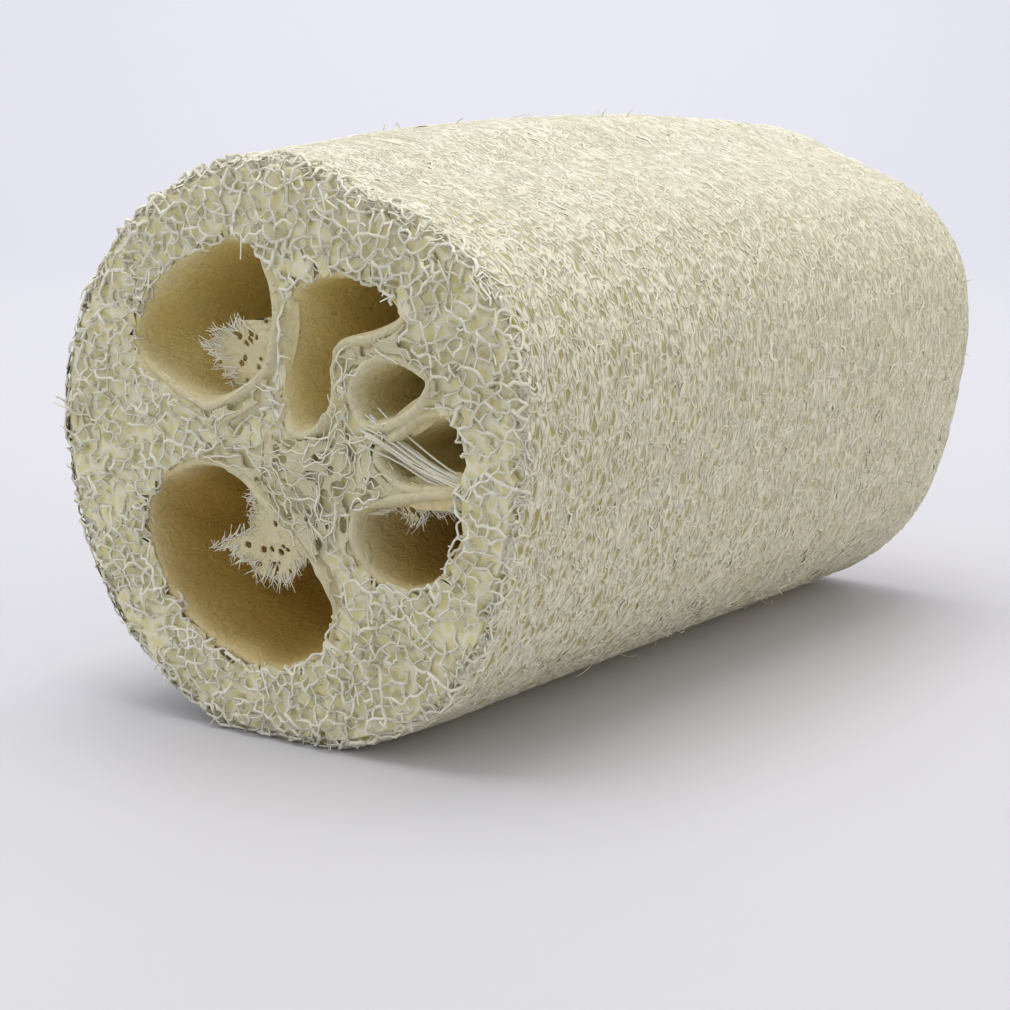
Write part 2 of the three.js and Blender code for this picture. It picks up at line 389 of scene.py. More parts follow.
# Pores drawn as brown spots of painted shade.
spotted = add(
    tree,
    "ShaderNodeMix",
    {"Factor": pore_shade.outputs["Result"], "A": linear("#a98a45"), "B": grained.outputs["Result"]},
    data_type="RGBA",
)
tree.links.new(spotted.outputs["Result"], shader.inputs["Base Color"])
lift = add(
    tree,
    "ShaderNodeBump",
    {"Height": fibres.outputs["Fac"], "Distance": 0.5 * MM, "Strength": 0.8},
)
tree.links.new(lift.outputs["Normal"], shader.inputs["Normal"])
shader.inputs["Roughness"].default_value = 0.75
shader.inputs["IOR"].default_value = FIBRE_IOR

wall_behind = np.linspace(LIP_BEHIND[-1] + 1.5, 2 * HALF_LENGTH - LIP_BEHIND[-1] - 1.5, WALL_STEPS)
lip_rings = list(zip(LIP_OUT, FADE_OUT, LIP_BEHIND, FADE_BEHIND))
rings = [(*ring, -1) for ring in lip_rings]
rings += [(0.0, 0.0, behind, behind, -1) for behind in wall_behind]
rings += [(*ring, 1) for ring in reversed(lip_rings)]
verts, faces, pale, painted_low_shade = [], [], [], []
for number, name in enumerate(MOUTHS):
    rim = closed_curve(MOUTHS[name], LINING_AROUND)
    away = outward(rim)
    lip = core_side(name, rim)
    crumpled = LIP_CRUMPLE * np.abs(ripple(rim[:, 0] * 1.1, rim[:, 1] * 1.1, 60 + number))
    first = len(verts)
    for out, fade, near, far, end in rings:
        behind = lip * near + (1 - lip) * far
        y = end * (HALF_LENGTH - behind)
        edge = np.minimum(behind, 2 * HALF_LENGTH - behind)
        middle = 1 - (y / HALF_LENGTH) ** 2
        waves = ripple(rim[:, 0] * 0.6 + y * 0.2, rim[:, 1] * 0.6 + y * 0.25, 40 + number)
        uneven = WALL_WAVES * waves * np.clip(edge / 5, 0, 1)
        offset = lip * out + (1 - lip) * fade - LINING_INSET - WALL_BULGE * middle + uneven
        ring = rim + (rim.mean(0) - rim) * WAIST * middle[:, None] + away * offset[:, None]
        verts.extend(placed(ring, y - end * crumpled * np.exp(-edge / 2)) * MM)
        # Paleness falls off with depth behind the cut; further in, the deep's painted warm light takes over.
        pale.extend(np.exp(-edge / (3 + 4 * lip)))
        # Marks the lower channels for painted shade.
        painted_low_shade.extend([float(name in SHADED_LOWER_CHANNELS)] * LINING_AROUND)
    for k in range(len(rings) - 1):
        for i in range(LINING_AROUND):
            a = first + k * LINING_AROUND + i
            b = first + k * LINING_AROUND + (i + 1) % LINING_AROUND
            faces.append((a, b, b + LINING_AROUND, a + LINING_AROUND))
lining_mesh = bpy.data.meshes.new("channel_linings")
lining_mesh.from_pydata([tuple(v) for v in verts], [], faces)
lining_mesh.attributes.new("paleness", "FLOAT", "POINT").data.foreach_set("value", pale)
lining_mesh.attributes.new("lower_channel_shade", "FLOAT", "POINT").data.foreach_set("value", painted_low_shade)
lining_mesh.shade_smooth()
lining_mesh.materials.append(lining_skin)
linings = piece_of("channel_linings", lining_mesh)
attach(linings, "root")

# The cut nets: on both ends the knife has opened the skeleton, a foam of stiff round plant fibres about
# 0.4 mm thick that grew together every millimetre or so. They are bleached nearly white where the air
# reached them, and a few were cut loose at one end.
FIBRE_SIDES = 3
STAIN = 3.0
NET_DEPTH = 2.0
NET_SPACING_WALL = 0.87
NET_SPACING_CORE = 1.1
NET_RADIUS = 0.195
NET_BARE = (-0.3, 1.1)
CORE_RADIUS = 6.5
CORE_ARM = 3.2
STRAIGHTEST = 0.45
NET_TRIES = 90000
NET_REACH = 33.0
NET_UNDER_WEBS = 1.6
NET_CURL = 0.14
NET_WITHIN = 0.99
NET_SINK = 1.3
NET_LUMPS = 0.5


def fibre_material(name, dull, clean):
    """Dry plant fibre, matte with the faintest waxy shine, and whiter where the bleach reached it better."""
    material, tree, shader = material_of(name)
    place = add(tree, "ShaderNodeTexCoord").outputs["Object"]
    stains = add(tree, "ShaderNodeTexNoise", {"Vector": place, "Scale": 1 / (STAIN * MM), "Detail": 1.0})
    hue = add(
        tree,
        "ShaderNodeMix",
        {"Factor": stains.outputs["Fac"], "A": linear(dull), "B": linear(clean)},
        data_type="RGBA",
    )
    tree.links.new(hue.outputs["Result"], shader.inputs["Base Color"])
    shader.inputs["Roughness"].default_value = 0.65
    shader.inputs["IOR"].default_value = FIBRE_IOR
    return material


white_fibre = fibre_material("Bleached loofah fibre, white", "#ddd8b8", "#f5f4ea")
cream_fibre = fibre_material("Bleached loofah fibre, cream", "#d6d1b2", "#ebe8d8")

fibre_tree = bpy.data.node_groups.new("Round fibres along paths", "GeometryNodeTree")
sockets = fibre_tree.interface
sockets.new_socket("Paths", in_out="INPUT", socket_type="NodeSocketGeometry")
sides_input = sockets.new_socket("Sides", in_out="INPUT", socket_type="NodeSocketInt")
steps_input = sockets.new_socket("Steps between points", in_out="INPUT", socket_type="NodeSocketInt")
material_input = sockets.new_socket("Fibre material", in_out="INPUT", socket_type="NodeSocketMaterial")
sockets.new_socket("Fibres", in_out="OUTPUT", socket_type="NodeSocketGeometry")
given = add(fibre_tree, "NodeGroupInput").outputs
thickness = add(fibre_tree, "GeometryNodeInputNamedAttribute", {"Name": "thickness"}, data_type="FLOAT")
bend = add(fibre_tree, "GeometryNodeMeshToCurve", {"Mesh": given["Paths"]})
smooth = add(
    fibre_tree,
    "GeometryNodeCurveSplineType",
    {"Curve": bend.outputs["Curve"]},
    spline_type="CATMULL_ROM",
)
finer = add(
    fibre_tree,
    "GeometryNodeSetSplineResolution",
    {"Geometry": smooth.outputs["Curve"], "Resolution": given["Steps between points"]},
)
section = add(
    fibre_tree,
    "GeometryNodeCurvePrimitiveCircle",
    {"Resolution": given["Sides"], "Radius": 1.0},
)
swept = add(
    fibre_tree,
    "GeometryNodeCurveToMesh",
    {
        "Curve": finer.outputs["Geometry"],
        "Profile Curve": section.outputs["Curve"],
        "Scale": thickness.outputs["Attribute"],
        "Fill Caps": True,
    },
)
rounded = add(
    fibre_tree,
    "GeometryNodeSetShadeSmooth",
    {"Geometry": swept.outputs["Mesh"], "Shade Smooth": True},
)
real = add(fibre_tree, "GeometryNodeRealizeInstances", {"Geometry": rounded.outputs["Geometry"]})
coloured = add(
    fibre_tree,
    "GeometryNodeSetMaterial",
    {"Geometry": real.outputs["Geometry"], "Material": given["Fibre material"]},
)
add(fibre_tree, "NodeGroupOutput", {"Fibres": coloured.outputs["Geometry"]})


def spin(name, paths, steps, material, soft=0.0):
    """One piece of round fibres, none lower than the floor. A path is its points and its radii, in mm.

    Light passes through fibres that lie in the skin, so their shading goes over into the skin's by soft.
    """
    count = np.array([len(points) for points, radius in paths])
    radii = np.concatenate([np.broadcast_to(radius, len(points)) for points, radius in paths])
    places = np.vstack([points for points, radius in paths])
    places[:, 2] = np.maximum(places[:, 2], radii + 0.05)
    starts = np.setdiff1d(np.arange(len(places)), np.cumsum(count) - 1)
    mesh = bpy.data.meshes.new(name + "_paths")
    mesh.from_pydata((places * MM).tolist(), np.stack([starts, starts + 1], -1).tolist(), [])
    thickness = mesh.attributes.new("thickness", "FLOAT", "POINT")
    thickness.data.foreach_set("value", (radii * MM).astype(np.float32))
    bare = piece_of(name + "_paths", mesh)
    modifier = bare.modifiers.new("Fibres", "NODES")
    modifier.node_group = fibre_tree
    modifier[sides_input.identifier] = FIBRE_SIDES
    modifier[steps_input.identifier] = steps
    modifier[material_input.identifier] = material
    made = bpy.data.meshes.new_from_object(bare.evaluated_get(bpy.context.evaluated_depsgraph_get()))
    made.name = name
    bpy.data.objects.remove(bare)
    if soft:
        own, out = np.empty((2, len(made.vertices), 3), np.float32)
        made.vertex_normals.foreach_get("vector", own.ravel())
        made.vertices.foreach_get("co", out.ravel())
        out = (out - np.array([AXIS_X, 0, AXIS_Z]) * MM) * [1, 0, 1]
        mixed = own + soft * out / np.linalg.norm(out, axis=1)[:, None]
        mixed = mixed / np.linalg.norm(mixed, axis=1)[:, None]
        made.normals_split_custom_set_from_vertices(mixed.tolist())
    piece = piece_of(name, made)
    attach(piece, "root")


edges = np.vstack(rims)
edge_out = np.vstack([outward(rim) for rim in rims])
edge_along = np.stack([edge_out[:, 1], -edge_out[:, 0]], -1)
edge_lip = np.concatenate([core_side(name, rim) for name, rim in zip(MOUTHS, rims)])


def nearest_edge(flat):
    """For points of the cut, the number of the nearest point of any mouth and the distance to it."""
    gaps = np.linalg.norm(flat[:, None] - edges[None], axis=2)
    near = gaps.argmin(1)
    return near, gaps[np.arange(len(flat)), near]


def in_channels(flat, margin):
    """Which points of the cut lie in a channel's mouth drawn larger by a margin."""
    return np.any([inside(rim + outward(rim) * margin, flat) for rim in rims], axis=0)


def in_core(flat):
    """Which points of the cut belong to the core: its middle, and arms along the lips of the mouths."""
    near, gap = nearest_edge(flat)
    return (gap < CORE_ARM * edge_lip[near] - 0.6) | (np.linalg.norm(flat - CORE, axis=1) < CORE_RADIUS)


def net_knots(end, draw):
    """The joints of the net behind one cut: uneven, never nearer to each other than the net's spacing."""
    flat = draw.uniform(-NET_REACH, NET_REACH, (NET_TRIES, 2))
    depth = NET_DEPTH * draw.uniform(0, 1, NET_TRIES) ** 1.2
    angle = np.arctan2(flat[:, 0], flat[:, 1])
    share = np.linalg.norm(flat, axis=1) / skin_radius(angle, np.full(NET_TRIES, end * 44.0))
    good = share < NET_WITHIN
    for name, rim in zip(MOUTHS, rims):
        bare = np.interp(core_side(name, rim), [0, 1], NET_BARE)
        good &= ~inside(rim + outward(rim) * bare[:, None], flat)
    good &= ~in_core(flat) | (depth > NET_UNDER_WEBS)
    sunk = NET_SINK * np.clip((share - 0.88) / 0.12, 0, 1) ** 2
    lumps = NET_LUMPS * np.abs(ripple(flat[:, 0] * 0.6, flat[:, 1] * 0.6, 5))
    points = placed(flat, end * (HALF_LENGTH - 0.2 - depth - sunk - lumps))[good]
    spacing = np.interp(share[good], [0.35, 0.7], [NET_SPACING_CORE, NET_SPACING_WALL])
    kept, cells = [], {}
    for p, gap in zip(points, spacing):
        home = tuple((p // NET_SPACING_CORE).astype(int))
        near = [
            q
            for i in (-1, 0, 1)
            for j in (-1, 0, 1)
            for k in (-1, 0, 1)
            for q in cells.get((home[0] + i, home[1] + j, home[2] + k), ())
        ]
        if all(((p - q) ** 2).sum() > gap**2 for q in near):
            cells.setdefault(home, []).append(p)
            kept.append(p)
    return np.array(kept)


def net_links(knots):
    """Pairs of joints with no third joint nearer to both: a foam with three or four fibres at each."""
    finder = KDTree(len(knots))
    for k, p in enumerate(knots):
        finder.insert(p, k)
    finder.balance()
    links = []
    for i, p in enumerate(knots):
        found = finder.find_range(p, 2 * NET_SPACING_CORE)
        ids = np.array([f[1] for f in found])
        gaps = np.array([f[2] for f in found])
        for j, gap in zip(ids, gaps):
            if j <= i:
                continue
            nearer = ids[(gaps < gap) & (ids != i)]
            if not (np.linalg.norm(knots[nearer] - knots[j], axis=1) < gap).any():
                links.append((i, int(j)))
    return links


def net_strands(knots, links):
    """Fibres that run on through the joints as straight as the links allow, each link used once."""
    at = {}
    for number, (i, j) in enumerate(links):
        at.setdefault(i, []).append((number, j))
        at.setdefault(j, []).append((number, i))
    used = [False] * len(links)

    def run_on(here, come_from, chain):
        while True:
            heading = knots[here] - knots[come_from]
            heading = heading / np.linalg.norm(heading)
            best, turn = None, STRAIGHTEST
            for number, there in at[here]:
                if used[number]:
                    continue
                way = knots[there] - knots[here]
                straight = way @ heading / np.linalg.norm(way)
                if straight > turn:
                    best, turn = (number, there), straight
            if best is None:
                return chain
            used[best[0]] = True
            come_from, here = here, best[1]
            chain.append(here)

    strands = []
    for number, (i, j) in enumerate(links):
        if used[number]:
            continue
        used[number] = True
        ahead = run_on(j, i, [i, j])
        back = run_on(i, j, [j, i])
        strands.append(back[:1:-1] + ahead)
    return strands


def wavy(points, draw, sway):
    """A path with a point set aside between each two of its points, so that its fibre curls."""
    p = np.asarray(points)
    gaps = np.linalg.norm(np.diff(p, axis=0), axis=1)[:, None]
    woven = np.empty((2 * len(p) - 1, 3))
    woven[0::2] = p
    woven[1::2] = (p[:-1] + p[1:]) / 2 + draw.normal(0, sway, (len(p) - 1, 3)) * gaps
    return woven


for name, end, seed in (("front_cut_net", -1, 11), ("back_cut_net", 1, 12)):
    draw = np.random.default_rng(seed)
    knots = net_knots(end, draw)
    paths = []
    for strand in net_strands(knots, net_links(knots)):
        path = wavy(knots[strand], draw, NET_CURL)
        paths.append((path, NET_RADIUS * draw.uniform(0.65, 1.2) * draw.uniform(0.9, 1.1, len(path))))
    loose = knots[HALF_LENGTH - np.abs(knots[:, 1]) < 1.2]
    t = np.linspace(0, 1, 4)[:, None]
    for root in loose[draw.permutation(len(loose))[: len(loose) // 3]]:
        way = np.array([draw.normal(0, 0.7), end * draw.uniform(0.1, 0.8), draw.normal(0, 0.7)])
        path = root + draw.uniform(0.4, 1.1) * (way * t + draw.normal(0, 0.5, 3) * t**2)
        path[:, 1] = np.clip(path[:, 1], -HALF_LENGTH - 0.1, HALF_LENGTH + 0.1)
        paths.append((path, NET_RADIUS * np.linspace(0.7, 0.4, 4)))
    spin(name, paths, 1, white_fibre)

# The core: between the channels the tissue is drawn into thin webs, riddled with long pores, and into fine
# fibres that run along the mouths and from one to the next, like pulled cotton. They are almost white.
WEB_CELL = 0.2
WEB_THICKNESS = 0.3
EDGE_ROUNDINGS = 3
WEB_PORES = 120
WEB_PORE = (0.6, 0.34)
STREAKS = 80
STREAK_STEP = 0.85
STREAK_RADIUS = 0.085
STREAK_STEPS = 5
WEB_DEPTH = 0.55
WEB_CRUMPLE = 0.3


def web_depth(flat):
    """How far behind the cut the crumpled webs lie."""
    return WEB_DEPTH + WEB_CRUMPLE * ripple(flat[:, 0] * 0.8, flat[:, 1] * 0.8, 81)


def thin_sheet(bm, thickness):
    """Rounds the edges of a sheet that lies across the gourd, and gives it a back along y."""
    loose = [v for v in bm.verts if not v.link_faces]
    bmesh.ops.delete(bm, geom=loose, context="VERTS")
    for _ in range(EDGE_ROUNDINGS):
        bmesh.ops.smooth_vert(
            bm,
            verts=bm.verts,
            factor=0.5,
            use_axis_x=True,
            use_axis_y=True,
            use_axis_z=True,
        )
    grown = bmesh.ops.extrude_face_region(bm, geom=bm.faces[:], use_keep_orig=True)
    back = [v for v in grown["geom"] if isinstance(v, bmesh.types.BMVert)]
    bmesh.ops.translate(bm, verts=back, vec=(0, thickness, 0))
    bmesh.ops.recalc_face_normals(bm, faces=bm.faces)


def membrane_piece(name, bm, paleness):
    """A finished piece of thin dried membrane, all of one paleness."""
    mesh = bpy.data.meshes.new(name)
    bm.to_mesh(mesh)
    bm.free()
    pale = mesh.attributes.new("paleness", "FLOAT", "POINT")
    pale.data.foreach_set("value", [paleness] * len(mesh.vertices))
    mesh.shade_smooth()
    mesh.materials.append(lining_skin)
    piece = piece_of(name, mesh)
    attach(piece, "root")


low, high = edges.min(0) - CORE_ARM, edges.max(0) + CORE_ARM
columns, rows = np.ceil((high - low) / WEB_CELL).astype(int)
i, k = np.meshgrid(np.arange(columns), np.arange(rows), indexing="ij")
flat = np.stack([low[0] + i.ravel() * WEB_CELL, low[1] + k.ravel() * WEB_CELL], -1)
near, gap = nearest_edge(flat)
core = in_core(flat) & ~in_channels(flat, 0.7)
draw = np.random.default_rng(82)
middles = flat[core][draw.integers(core.sum(), size=WEB_PORES)]
size = draw.uniform(0.4, 1.4, WEB_PORES)
offset = flat[:, None] - middles[None]
along = (offset * edge_along[near][:, None]).sum(2) / (WEB_PORE[0] * size)
across = (offset * edge_out[near][:, None]).sum(2) / (WEB_PORE[1] * size)
whole = (core & (along**2 + across**2 > 1).all(1)).reshape(columns, rows)
for name, end in (("front_core_webs", -1), ("back_core_webs", 1)):
    places = placed(flat, end * (HALF_LENGTH - web_depth(flat))).reshape(columns, rows, 3) * MM
    web = bmesh.new()
    corner = {}
    for a in range(columns - 1):
        for b in range(rows - 1):
            square = [(a, b), (a + 1, b), (a + 1, b + 1), (a, b + 1)]
            if not all(whole[at] for at in square):
                continue
            for at in square:
                if at not in corner:
                    corner[at] = web.verts.new(places[at])
            web.faces.new([corner[at] for at in square])
    thin_sheet(web, -end * WEB_THICKNESS * MM)
    membrane_piece(name, web, 1.0)


def streaks(draw, count):
    """Fibres of the core on the flat of the cut: each follows the nearest mouth and slips round it."""
    seeds = flat[core][draw.integers(core.sum(), size=count)]
    lean = draw.normal(0, 0.45, (count, 1))
    halves = []
    for sign in (1, -1):
        here, heading = seeds.copy(), None
        track = [here]
        for _ in range(STREAK_STEPS):
            near, gap = nearest_edge(here)
            way = edge_along[near] * sign
            if heading is not None:
                way = way * np.sign((way * heading).sum(1))[:, None]
            way = way + edge_out[near] * lean * sign + draw.normal(0, 0.5, (count, 2))
            heading = way / np.linalg.norm(way, axis=1)[:, None]
            here = here + heading * STREAK_STEP
            near, gap = nearest_edge(here)
            fallen = in_channels(here, 0.1)
            here = np.where(fallen[:, None], edges[near] + edge_out[near] * 0.2, here)
            track.append(here)
        halves.append(track)
    return np.array(halves[1][:0:-1] + halves[0])


for name, end, seed in (("front_core_streaks", -1, 83), ("back_core_streaks", 1, 84)):
    draw = np.random.default_rng(seed)
    tracks = streaks(draw, STREAKS)
    paths = []
    for n in range(STREAKS):
        first, last = draw.integers(0, 4), draw.integers(8, 12)
        track = tracks[first:last, n]
        depth = web_depth(track) + draw.normal(-0.1, 0.2) + draw.normal(0, 0.12, len(track))
        depth = np.maximum(depth, 0.1)
        paths.append((placed(track, end * (HALF_LENGTH - depth)), STREAK_RADIUS * draw.uniform(0.6, 1.5)))
    spin(name, paths, 2, white_fibre)

# The torn membranes: thin dried webs that once closed the channels, ripped when the seeds were shaken out.
# Each hangs from the side of its channel where it grew, dotted with pores, and ends in a fringe of fibre.
# Behind is its depth under the cut, and the first points of its edge, root in number, are those on the wall.
MEMBRANES = {
    "upper_left": {
        "behind": 1.8,
        "root": 4,
        "edge": [
            (0.2, 13.2), (0.2, 7.6), (-3.4, 4.2), (-7.4, 3), (-8.2, 6.8), (-9.2, 7.4), (-9.2, 8.4),
            (-10.9, 9.1), (-9.4, 9.8), (-9, 11), (-7.6, 10.8), (-6.6, 12.2), (-5, 12),
        ],
    },
    "lower_left": {
        "behind": 1.8,
        "root": 3,
        "edge": [
            (2.6, -6.6), (-2, -4.6), (-4.8, -3.4), (-5.6, -9.6), (-7.6, -10), (-10.2, -11.4), (-8, -11.6),
            (-7.4, -12.8), (-6, -12.4), (-5, -14.6), (-3.8, -13.8), (-2.4, -14.8), (-0.6, -14),
            (1.2, -11.6), (4.6, -10.2),
        ],
    },
    "lower_right": {
        "behind": 1.8,
        "root": 2,
        "edge": [
            (8.4, -3.6), (22.6, -1.8), (22.8, -4.4), (19.8, -4.2), (18.2, -5.3), (17, -4.8), (15.8, -6),
            (14.7, -6.6), (13.6, -5.5), (12.6, -5), (9, -6),
        ],
    },
}
TEAR_GRID = 0.3
TEAR_PORES = 45
FRINGE_PER_MM = 6
FRINGE_RADIUS = 0.055
TEAR_BOW = 1.6
TEAR_CRUMPLE = 0.45
TEAR_PALENESS = 0.85


def hang(web, points):
    """Points of a hanging web: bowed back in its middle and crumpled."""
    outline = np.array(web["edge"])
    share = (points - outline.min(0)) / np.ptp(outline, axis=0)
    bow = TEAR_BOW * np.sin(np.pi * np.clip(share[:, 0], 0, 1)) * np.clip(1.2 - share[:, 1], 0, 1)
    crumple = TEAR_CRUMPLE * ripple(points[:, 0] * 0.9, points[:, 1] * 0.9, 71)
    y = web["behind"] + bow + crumple - HALF_LENGTH
    return np.stack([AXIS_X + points[:, 0], y, points[:, 1] + AXIS_Z], -1)


draw = np.random.default_rng(72)
torn_webs = bmesh.new()
fringe = []
for web in MEMBRANES.values():
    edge = np.array(web["edge"])
    least, most = edge.min(0), edge.max(0)
    grid = np.mgrid[least[0] : most[0] : TEAR_GRID, least[1] : most[1] : TEAR_GRID].reshape(2, -1).T
    grid = grid + draw.uniform(-0.1, 0.1, grid.shape)
    grid = grid[inside(edge, grid)]
    corners = [Vector(p) for p in np.vstack([edge, grid])]
    made = delaunay_2d_cdt(corners, [], [list(range(len(edge)))], 1, 1e-5)
    points = np.array([tuple(p) for p in made[0]])
    holes = grid[draw.integers(len(grid), size=TEAR_PORES)]
    size = draw.uniform(0.1, 0.34, TEAR_PORES)
    corners = [torn_webs.verts.new(p) for p in hang(web, points) * MM]
    for face in made[2]:
        middle = points[list(face)].mean(0)
        if (np.linalg.norm(holes - middle, axis=1) > size).all():
            torn_webs.faces.new([corners[k] for k in face])
    free = edge[web["root"] - 1 :]
    heart = edge[: web["root"]].mean(0)
    for a, b in zip(free[:-1], free[1:]):
        for _ in range(int(FRINGE_PER_MM * np.linalg.norm(b - a)) + 1):
            start = a + (b - a) * draw.uniform()
            way = start - heart
            way = way / np.linalg.norm(way) + draw.normal(0, 0.5, 2)
            t = np.linspace(-0.8, draw.uniform(0.05, 0.6), 5)[:, None]
            path = hang(web, start + way * t + draw.normal(0, 0.8, 2) * np.maximum(t, 0) ** 2)
            path[:, 1] -= 0.1 + draw.normal(0, 0.3) * np.maximum(t[:, 0], 0)
            fringe.append((path, FRINGE_RADIUS * draw.uniform(0.7, 1.4) * np.linspace(1.2, 0.6, 5)))
thin_sheet(torn_webs, WEB_THICKNESS * MM)
membrane_piece("torn_membranes", torn_webs, TEAR_PALENESS)

# The frayed ends: the fringe of the torn membranes, and the bundle of white plant fibres that is still
# stretched across the mouth of the right channel. Its threads grew out of the core and run together.
BUNDLE_THREADS = 60
BUNDLE_ACROSS = np.array([10.8, 12.9, 15.1, 18.0, 21.0, 23.0])
BUNDLE_BEHIND = np.array([1.2, 1.2, 1.5, 1.8, 2.0, 2.4])
BUNDLE_UP = np.array([3.0, 2.1, 0.9, -0.6, -1.5, -2.0])
BUNDLE_SPREAD = np.array([0.8, 0.6, 0.5, 0.42, 0.36, 0.5])[:, None]
route = np.stack([BUNDLE_ACROSS, BUNDLE_BEHIND, BUNDLE_UP], -1)
bundle = []
for _ in range(BUNDLE_THREADS):
    thread = route + draw.normal(0, 1, 3) * BUNDLE_SPREAD * 0.8 + draw.normal(0, 0.1, route.shape)
    path = np.stack([thread[:, 0] + AXIS_X, thread[:, 1] - HALF_LENGTH, thread[:, 2] + AXIS_Z], -1)
    bundle.append((path, draw.uniform(0.1, 0.18)))
spin("frayed_ends", fringe, 2, cream_fibre)
spin("stretched_bundle", bundle, 2, white_fibre)

# The felt's ground: under the peel, which was rubbed off, the plant fibres are matted into a dense cream
# skin in which only small pores stay open. They are drawn out round the gourd, about 0.5 by 1.6 mm, and are
# drawn as olive spots: partly the olive of the tissue behind and partly painted shade in the open pore. Each
# end of the ground turns down in rings, given by their y and their depth.
MAT_AROUND = 300
MAT_STEP = 0.8
MAT_DEPTH = 0.36
MAT_LUMPS = 0.05
MAT_ENDS = [(48.3, 0.7), (48.2, 1.3), (48.0, 2.4), (47.6, 4.0)]
MAT_LAST = 48.0
LOWEST = 0.02
PORE_SWAY = 0.9
PORE_COARSE = 1.15
PORE_FINE = 0.7
FELT_PATCH = 8.0

# A cream mat, patchy and matte, with olive pores that give the side its speckle; their darkness is partly the
# tissue's olive and partly painted shade. The painted pore shade is strongest at the front and below, and
# fades towards the top and the back.
matted_felt, tree, shader = material_of("Matted loofah felt")
place = add(tree, "ShaderNodeTexCoord").outputs["Object"]
drawn = add(tree, "ShaderNodeMapping", {"Vector": place, "Scale": (0.42, 1.0, 0.42)}).outputs["Vector"]
bent = add(tree, "ShaderNodeTexNoise", {"Vector": place, "Scale": 1 / (2.2 * MM), "Detail": 1.0})
swayed = add(
    tree,
    "ShaderNodeVectorMath",
    {0: bent.outputs["Color"], 1: [PORE_SWAY * MM] * 3, 2: drawn},
    operation="MULTIPLY_ADD",
)
coarse = add(
    tree,
    "ShaderNodeTexVoronoi",
    {"Vector": swayed.outputs["Vector"], "Scale": 1 / (PORE_COARSE * MM)},
    feature="DISTANCE_TO_EDGE",
)
fine = add(
    tree,
    "ShaderNodeTexVoronoi",
    {"Vector": swayed.outputs["Vector"], "Scale": 1 / (PORE_FINE * MM)},
    feature="DISTANCE_TO_EDGE",
)
pore = add(
    tree,
    "ShaderNodeMapRange",
    {"Value": coarse.outputs["Distance"], "From Min": 0.03, "From Max": 0.22, "To Min": 0.0, "To Max": 1.0},
    interpolation_type="SMOOTHSTEP",
)
dent = add(
    tree,
    "ShaderNodeMapRange",
    {"Value": fine.outputs["Distance"], "From Min": 0.01, "From Max": 0.24, "To Min": 0.0, "To Max": 1.0},
    interpolation_type="SMOOTHSTEP",
)
across = add(tree, "ShaderNodeSeparateXYZ", {"Vector": place})
below = add(
    tree,
    "ShaderNodeMapRange",
    {"Value": across.outputs["Z"], "From Min": 44 * MM, "From Max": 58 * MM, "To Min": 1.0, "To Max": 0.4},
)
ahead = add(
    tree,
    "ShaderNodeMapRange",
    {"Value": across.outputs["Y"], "From Min": -45 * MM, "From Max": 45 * MM, "To Min": 1.0, "To Max": 0.45},
)
# The painted pore shade is strongest at the front and below, and fades towards the top and the back.
pore_shade_share = add(
    tree,
    "ShaderNodeMath",
    {0: below.outputs["Result"], 1: ahead.outputs["Result"]},
    operation="MULTIPLY",
)
both = add(
    tree,
    "ShaderNodeMath",
    {0: pore.outputs["Result"], 1: dent.outputs["Result"]},
    operation="MULTIPLY",
)
pore_shade = add(
    tree,
    "ShaderNodeMath",
    {0: both.outputs["Value"], 1: pore_shade_share.outputs["Value"]},
    operation="MULTIPLY",
)
patches = add(tree, "ShaderNodeTexNoise", {"Vector": place, "Scale": 1 / (FELT_PATCH * MM), "Detail": 3.0})
ground = add(
    tree,
    "ShaderNodeMix",
    {"Factor": patches.outputs["Fac"], "A": linear("#d6d2b8"), "B": linear("#e6e3d3")},
    data_type="RGBA",
)
# Olive pores: partly the tissue's own olive, partly painted shade in the open pore.
hue = add(
    tree,
    "ShaderNodeMix",
    {"Factor": pore_shade.outputs["Value"], "A": ground.outputs["Result"], "B": linear("#a39b5e")},
    data_type="RGBA",
)
tree.links.new(hue.outputs["Result"], shader.inputs["Base Color"])
lift = add(
    tree,
    "ShaderNodeBump",
    {"Height": dent.outputs["Result"], "Distance": 0.3 * MM, "Strength": 0.9},
    invert=True,
)
tree.links.new(lift.outputs["Normal"], shader.inputs["Normal"])
shader.inputs["Roughness"].default_value = 0.8
shader.inputs["IOR"].default_value = FIBRE_IOR

levels = np.arange(-MAT_LAST, MAT_LAST + 0.01, MAT_STEP)
end_y, end_depth = np.array(MAT_ENDS).T
heights = np.concatenate([-end_y[::-1], levels, end_y])
depths = np.concatenate([end_depth[::-1], np.full(len(levels), MAT_DEPTH), end_depth])
angle = np.arange(MAT_AROUND) * 2 * np.pi / MAT_AROUND
angle, y = np.meshgrid(angle, heights)
lumps = MAT_LUMPS * (ripple(30 * np.sin(angle), y, 91) + ripple(30 * np.cos(angle), y, 92))
mat = on_skin(angle, y, depths[:, None] + lumps)
mat[..., 2] = np.maximum(mat[..., 2], LOWEST)
faces = []
for k in range(len(heights) - 1):
    for i in range(MAT_AROUND):
        a = k * MAT_AROUND + i
        b = k * MAT_AROUND + (i + 1) % MAT_AROUND
        faces.append((a, a + MAT_AROUND, b + MAT_AROUND, b))
mat_mesh = bpy.data.meshes.new("felt_ground")
mat_mesh.from_pydata((mat.reshape(-1, 3) * MM).tolist(), [], faces)
mat_mesh.shade_smooth()
mat_mesh.materials.append(matted_felt)
mat_piece = piece_of("felt_ground", mat_mesh)
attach(mat_piece, "root")

